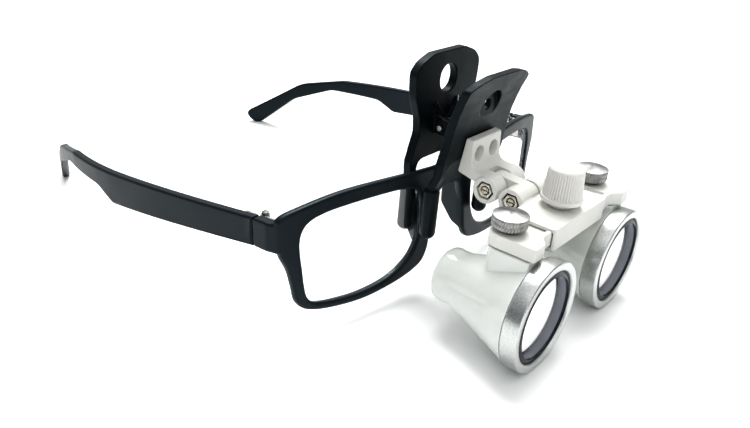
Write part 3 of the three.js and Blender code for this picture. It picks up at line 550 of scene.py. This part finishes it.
def build_lens(name, side):
    centre = Vector((39.5, -1))
    fitted = [p + (centre - p).normalized() * 0.22 for p in LENS_OPENING]
    piece = plate(f"spectacle_lens_{name}", fitted, [], 1.6, 0.2,
                  lambda u, v, w: in_spectacles(side * u, face_y(u) + w + 0.55, v),
                  SPECTACLE_LENS, u_cuts=stations(14, 65, 2), steps=2)
    settle(piece, "spectacles", "spectacle_lens", f"lens_{name}")


build_front()
for side_name, sign in SIDES:
    build_temple(side_name, sign)
    build_lens(side_name, sign)
    for part in ("frame_hinge", "temple_hinge", "hinge_screw"):
        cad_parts[f"{part}_{side_name}"].data.materials.clear()
        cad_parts[f"{part}_{side_name}"].data.materials.append(STEEL)


# ------------------------------------------------------------------ clip

for jaw, jaw_body in (("clip_rear_jaw", "rear_jaw"), ("clip_front_jaw", "front_jaw")):
    settle(moulded(f"{jaw}_moulding", [jaw], 0.22, 6, CLIP_PLASTIC), jaw_body,
           "clip_plastic", jaw)


def capsule(radius, bottom, top):
    """The profile of a finger sleeve: round at the bottom, flat with a lip at the top."""
    profile = [(0, bottom)]
    for i in range(1, 9):
        angle = i * math.pi / 16
        profile.append((radius * math.sin(angle), bottom + radius * (1 - math.cos(angle))))
    profile += [(radius, top - 0.7), (radius - 0.12, top - 0.3), (radius - 0.5, top), (0, top)]
    return profile


for side_name, sign in SIDES:
    for place, y, radius, body in (("front", -3.75, 2.65, "front_jaw"),
                                   ("rear", 5.65, 2.6, "rear_jaw")):
        sleeve = lathe(f"{place}_finger_sleeve_{side_name}", capsule(radius, 20.0, 37.5),
                       (sign * FINGER_X, y), "Z", RUBBER, 40, 50)
        settle(sleeve, body, "finger_rubber", f"{place}_sleeve_{side_name}")


# ------------------------------------------------------------------ hinges, bridge, knob

def build_bracket():
    """The bracket with its two deep screw recesses, and the screw heads inside them."""
    recesses = []
    for side_name, side in SIDES:
        centre = (side * 4.08, 50.0)
        recesses.append(lathe("recess", [(0, -20.0), (3.6, -20.0), (2.55, -12.2), (2.25, -9.7),
                                         (0, -9.7)], centre, "Y", WHITE, 48))
        head = [(0, -10.0), (0.55, -10.0), (0.6, -10.3), (1.5, -10.3), (1.7, -10.2),
                (1.85, -9.95), (1.85, -9.72), (0, -9.72)]
        screw = lathe(f"recess_screw_{side_name}", head, centre, "Y", STEEL, 40, 30)
        settle(screw, "front_jaw", "steel", f"bracket_screw_{side_name}")
    settle(moulded("bracket_moulding", ["bracket"], 0.14, 3, WHITE, cutters=recesses),
           "front_jaw", "white_plastic", "bracket")


build_bracket()

WHITE_PARTS = (("flip_link", "link", 0.16),
               ("bridge_housing", "bridge_unit", 0.2), ("bridge_cover", "bridge_unit", 0.25),
               ("slider_right", "right_slider", 0.2), ("slider_left", "left_slider", 0.2))
for part, body, voxel in WHITE_PARTS:
    settle(moulded(f"{part}_moulding", [part], voxel, 5, WHITE), body, "white_plastic", part)


def hexagonal(radius, angle):
    """The distance to the side of a hexagon with its corners at the radius."""
    return radius * math.cos(math.pi / 6) / math.cos((angle % (math.pi / 3)) - math.pi / 6)


def build_nut(name, body, y, z):
    """A hexagonal nut with a bevelled bore, in the pocket of the right-hand disc, with a dark
    sheet of painted shade in the gap round it.
    """
    bm = bmesh.new()
    sides = 24
    rings = []
    for radius, depth, hexed in ((1.35, -7.3, False), (1.35, -8.35, False), (1.6, -8.62, False),
                                 (2.45, -8.7, False), (2.6, -8.55, True), (2.6, -7.3, True)):
        ring = []
        for i in range(sides):
            angle = 2 * math.pi * i / sides
            r = hexagonal(radius, angle) if hexed else radius
            if not hexed and radius > 2:
                r = min(radius, hexagonal(2.45, angle) + 0.05)
            ring.append(bm.verts.new(at(depth, y + r * math.cos(angle), z + r * math.sin(angle))))
        rings.append(ring)
    for a, b in zip(rings, rings[1:] + rings[:1]):
        for i in range(sides):
            j = (i + 1) % sides
            bm.faces.new((a[i], a[j], b[j], b[i]))
    settle(to_object(f"hex_nut_{name}", bm, NICKEL, 30), body, "nickel", f"{name}_flip_nut")
    # Painted shade: a dark hexagonal sheet with a hole covers the gap between the nut and its
    # pocket, where shade falls.
    hexagon = [Vector((3.12 * math.cos(math.pi * i / 3), 3.12 * math.sin(math.pi * i / 3)))
               for i in range(6)]
    inner = [Vector((1.3 * math.cos(math.pi * i / 12), 1.3 * math.sin(math.pi * i / 12)))
             for i in range(24)]
    shade_sheet = plate(f"nut_shade_sheet_{name}", hexagon, [inner], 0.5, 0.08,
                   lambda u, v, w: at(-7.05 - w, y + u, z + v), PAINTED_GAP_SHADE, steps=2)
    settle(shade_sheet, body, "nickel")


build_nut("upper", "front_jaw", -19.0, 40.6)
build_nut("lower", "bridge_unit", -28.4, 39.8)

METAL = {
    "clip_pin": STEEL, "clip_spring": STEEL, "pinion": STEEL,
    "upper_flip_bolt": NICKEL, "lower_flip_bolt": NICKEL,
}
for part, metal in METAL.items():
    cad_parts[part].data.materials.clear()
    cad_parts[part].data.materials.append(metal)


def build_knob():
    """The adjusting knob, with ribs between its collar and its rounded top."""
    ribs = 44
    profile = [(0, 41.1), (3.9, 41.1), (4.0, 41.3), (4.0, 42.5), (4.3, 42.7), (6.1, 42.7),
               (6.4, 42.85), (6.55, 43.2), (6.55, 43.9), (6.4, 44.25), (6.1, 44.4)]
    grip_low, grip_high = 44.7, 52.6
    for i in range(9):
        h = grip_low + (grip_high - grip_low) * i / 8
        profile.append((6.1 - 0.075 * (h - grip_low), h))
    profile += [(5.45, 52.9), (5.25, 53.25), (4.95, 53.55), (4.5, 53.7), (0, 53.7)]

    def ribbed(r, h, angle):
        if h < grip_low - 0.01 or h > grip_high + 0.01:
            return r
        return r - 0.4 * (0.5 - 0.5 * math.cos(ribs * angle)) ** 2
    knob = lathe("knob_ribbed", profile, (0, KNOB_Y), "Z", WHITE, ribs * 10, 40,
                 radius_at=ribbed)
    settle(knob, "knob", "white_plastic", "adjusting_knob")


build_knob()


# ------------------------------------------------------------------ telescopes

def build_thumbscrew(name, side):
    """A thumbscrew with two rows of knurling, half a tooth apart, and a shallow cone on top."""
    teeth = 34
    low, middle, high = 41.7, 43.4, 45.0
    profile = [(0, 31.5), (1.1, 31.5), (1.4, 31.8), (1.4, 40.6), (3.5, 40.6), (3.6, 40.75),
               (3.7, 41.3), (4.7, 41.55), (5.05, 41.7)]
    rows = 14
    for i in range(rows + 1):
        profile.append((5.38, low + (high - low) * i / rows))
    profile += [(5.3, 45.14), (5.05, 45.2), (4.4, 45.3), (3.4, 45.48), (2.2, 45.7),
                (1.1, 45.86), (0.5, 45.92), (0, 45.93)]

    def knurled(r, h, angle):
        if not 5.3 < r < 5.4 or h > high + 0.01 or h < low - 0.01:
            return r
        upper = h > middle
        t = (h - middle) / (high - middle) if upper else (middle - h) / (middle - low)
        crown = math.sin(math.pi * min(max(t, 0.0), 1.0)) ** 0.6
        wave = 0.5 + 0.5 * math.cos(teeth * angle + (math.pi if upper else 0))
        return r - 0.34 * (1 - crown * wave ** 0.7)
    screw = lathe(f"thumb_wheel_{name}", profile, (side * THUMB_X, THUMB_Y), "Z", CHROME,
                  teeth * 8, 45, radius_at=knurled)
    settle(screw, f"{name}_thumbscrew", "thumbscrew_metal", f"thumbscrew_{name}")


def build_telescope(name, side):
    """Barrel, front ring and lenses of one telescope, all turned about its axis."""
    body = f"{name}_telescope"
    centre = (side * BARREL_X, BARREL_Z)
    outer = smooth_through([(17.1, -48.9), (16.1, -46), (14.7, -42), (13.2, -38), (11.8, -34),
                            (10.4, -30), (9.5, -27), (9.0, -25), (8.85, -23), (8.93, -21.4),
                            (8.75, -20.0), (8.35, -19.1)], False, 4)
    profile = [(14.6, -51.4), (15.8, -51.4), (15.8, -48.9)]
    profile += [(p.x, p.y) for p in outer]
    profile += [(8.05, -18.8), (7.75, -18.7), (7.5, -18.8), (7.4, -19.0), (7.4, -23.4),
                (6.5, -23.4), (6.9, -26), (13.2, -44), (13.4, -46.6), (14.6, -46.6)]
    tube = lathe("tube", profile, centre, "Y", PEARL, 128, 30)
    saddle = rounded([(31.3, -48.7, 0.6), (22.8, -48.7, 1.5), (21.5, -45.7, 1.5),
                      (21.5, -34.0, 4), (31.3, -34.0, 4)])
    seat = evaluated(plate("seat", saddle, [], 8.7, 0.3,
                           lambda u, v, w: at(side * u, v, w + 27.0), PEARL))
    barrel = joined(f"telescope_{name}", [tube, seat])
    barrel.data.shade_smooth()
    barrel.data.set_sharp_from_angle(angle=math.radians(32))
    settle(barrel, body, "pearl_plastic", f"barrel_{name}")

    ring = [(16.1, -49.2), (17.25, -49.2), (17.4, -49.35), (17.4, -53.7), (17.3, -54.0),
            (17.0, -54.2), (15.2, -54.2), (14.95, -54.1), (14.75, -53.8), (14.6, -53.3),
            (14.6, -51.7), (16.1, -51.7)]
    settle(lathe(f"front_ring_{name}", ring, centre, "Y", SILVER, 160, 28), body,
           "ring_aluminium", f"objective_ring_{name}")

    rim = [(14.5, -53.0), (13.1, -53.0), (12.98, -53.75), (13.05, -53.95), (13.2, -53.95),
           (14.5, -53.2)]
    settle(lathe(f"lens_retainer_{name}", rim, centre, "Y", BLACK_RING, 128, 30), body,
           "black_ring", f"objective_retainer_{name}")
    wall = [(14.5, -49.9), (14.05, -49.9), (13.2, -52.95), (14.5, -52.95)]
    settle(lathe(f"retainer_wall_{name}", wall, centre, "Y", INNER_WALL, 128, 30), body,
           "black_ring")

    dome = [(14.0 * i / 12, -51.0 + 1.1 * (i / 12) ** 2) for i in range(13)]
    back = [(14.0 * i / 12, -49.7) for i in range(12, -1, -1)]
    settle(lathe(f"front_lens_{name}", dome + back, centre, "Y", OPTICAL_GLASS, 128, 30), body,
           "optical_glass", f"objective_lens_{name}")
    # Painted shade: a black ring behind the front lens shows round the glowing disc as a dark
    # outline, and as a crescent where the disc sits off centre.
    edge = [(11.5, -49.52), (14.3, -49.52), (14.3, -49.0), (11.5, -49.0)]
    settle(lathe(f"field_shade_ring_{name}", edge, centre, "Y", BLACK_RING, 128, 30), body,
           "black_ring")
    # Painted light: a glowing white disc behind the front lens stands in for the light seen
    # through the objective; it sits off its axis.
    field = [(0, -49.6), (12.8, -49.6), (12.9, -49.5), (12.9, -48.7), (0, -48.7)]
    field_centre = (centre[0] + FIELD_OFFSET[0], centre[1] + FIELD_OFFSET[1])
    settle(lathe(f"bright_field_{name}", field, field_centre, "Y", PAINTED_LIGHT_FIELD, 96, 30), body,
           "optical_glass")

    eye_front = [(7.1 * i / 8, -22.4 - 0.7 * (i / 8) ** 2) for i in range(9)]
    eye_back = [(7.1 * i / 8, -21.4 + 0.6 * (i / 8) ** 2) for i in range(8, -1, -1)]
    settle(lathe(f"eye_lens_{name}", eye_front + eye_back, centre, "Y", OPTICAL_GLASS, 80, 30),
           body, "optical_glass", f"eyepiece_lens_{name}")
    eye_ring = [(7.1, -18.9), (6.3, -18.9), (6.0, -19.05), (5.8, -19.4), (5.8, -20.5),
                (7.1, -20.5)]
    settle(lathe(f"eye_retainer_{name}", eye_ring, centre, "Y", BLACK_RING, 80, 30), body,
           "black_ring", f"eyepiece_ring_{name}")


for side_name, sign in SIDES:
    build_thumbscrew(side_name, sign)
    build_telescope(side_name, sign)


# ------------------------------------------------------------------ stage, light, camera

def build_floor():
    bm = bmesh.new()
    bmesh.ops.create_grid(bm, x_segments=4, y_segments=4, size=4.0)
    material, tree, principled = shader("floor", (0.93, 0.935, 0.93), 0.5,
                                        Specular_IOR_Level=0.25)
    soft = noise(tree, 3.0, 2.0)
    tree.links.new(tint(tree, soft, (0.92, 0.93, 0.925), (0.94, 0.945, 0.94)),
                   principled.inputs["Base Color"])
    to_object("floor", bm, material)


def area_light(name, place, target, size, power):
    data = bpy.data.lights.new(name, "AREA")
    data.shape = "RECTANGLE"
    data.size, data.size_y = size
    data.energy = power
    lamp = bpy.data.objects.new(name, data)
    lamp.location = place
    lamp.rotation_euler = (Vector(target) - Vector(place)).to_track_quat("-Z", "Y").to_euler()
    bpy.context.scene.collection.objects.link(lamp)


def soft_sun(name, place, target, spread_degrees, strength):
    """Light from one side, alike all over the floor, with soft shadows."""
    data = bpy.data.lights.new(name, "SUN")
    data.angle = math.radians(spread_degrees)
    data.energy = strength
    lamp = bpy.data.objects.new(name, data)
    lamp.location = place
    lamp.rotation_euler = (Vector(target) - Vector(place)).to_track_quat("-Z", "Y").to_euler()
    bpy.context.scene.collection.objects.link(lamp)


def build_light():
    """A sky that is brighter overhead than at the horizon, a soft sun and a weak fill.

    The camera itself sees an even pale backdrop beyond the floor.
    """
    world = bpy.data.worlds.new("studio")
    world.use_nodes = True
    tree = world.node_tree
    coords = tree.nodes.new("ShaderNodeTexCoord")
    lean = tree.nodes.new("ShaderNodeMapping")
    lean.inputs["Rotation"].default_value = (math.radians(14), math.radians(-14), 0)
    tree.links.new(coords.outputs["Generated"], lean.inputs["Vector"])
    split = tree.nodes.new("ShaderNodeSeparateXYZ")
    tree.links.new(lean.outputs["Vector"], split.inputs["Vector"])
    ramp = tree.nodes.new("ShaderNodeValToRGB")
    stops = ramp.color_ramp.elements
    stops[0].position, stops[0].color = 0.0, (0.16, 0.17, 0.18, 1)
    stops[1].position, stops[1].color = 1.0, (1.0, 1.0, 1.0, 1)
    middle = stops.new(0.35)
    middle.color = (0.42, 0.44, 0.45, 1)
    tree.links.new(split.outputs["Z"], ramp.inputs["Fac"])
    backdrop = tree.nodes["Background"]
    tree.links.new(ramp.outputs["Color"], backdrop.inputs["Color"])
    backdrop.inputs["Strength"].default_value = 0.85
    seen = tree.nodes.new("ShaderNodeBackground")
    seen.inputs["Color"].default_value = (0.93, 0.935, 0.93, 1)
    seen.inputs["Strength"].default_value = 1.15
    path = tree.nodes.new("ShaderNodeLightPath")
    mixed = tree.nodes.new("ShaderNodeMixShader")
    tree.links.new(path.outputs["Is Camera Ray"], mixed.inputs["Fac"])
    tree.links.new(backdrop.outputs["Background"], mixed.inputs[1])
    tree.links.new(seen.outputs["Background"], mixed.inputs[2])
    tree.links.new(mixed.outputs["Shader"], tree.nodes["World Output"].inputs["Surface"])
    bpy.context.scene.world = world
    middle_of_object = (0.0, -0.03, 0.02)
    soft_sun("key", (0.28, 0.22, 0.72), middle_of_object, 38, 3.6)
    area_light("front_fill", (-0.45, -0.60, 0.70), middle_of_object, (1.3, 1.3), 3.6)


def build_camera():
    azimuth, elevation, roll = (math.radians(a) for a in (51.863, 26.393, 4.662))
    forward = Vector((math.sin(azimuth) * math.cos(elevation),
                      math.cos(azimuth) * math.cos(elevation), -math.sin(elevation)))
    level = forward.cross(Vector((0, 0, 1))).normalized()
    upright = level.cross(forward)
    right = level * math.cos(roll) + upright * math.sin(roll)
    up = upright * math.cos(roll) - level * math.sin(roll)
    data = bpy.data.cameras.new("camera")
    data.sensor_width = 36.0
    data.lens = 36.81
    data.clip_start = 0.01
    camera = bpy.data.objects.new("camera", data)
    turn = Matrix((right, up, -forward)).transposed().to_4x4()
    camera.matrix_world = Matrix.Translation(at(-202.24, -128.15, 138.35)) @ turn
    bpy.context.scene.collection.objects.link(camera)
    bpy.context.scene.camera = camera


build_floor()
build_light()
build_camera()
bpy.context.scene.view_settings.view_transform = "Standard"
bpy.context.scene.view_settings.look = "Medium High Contrast"
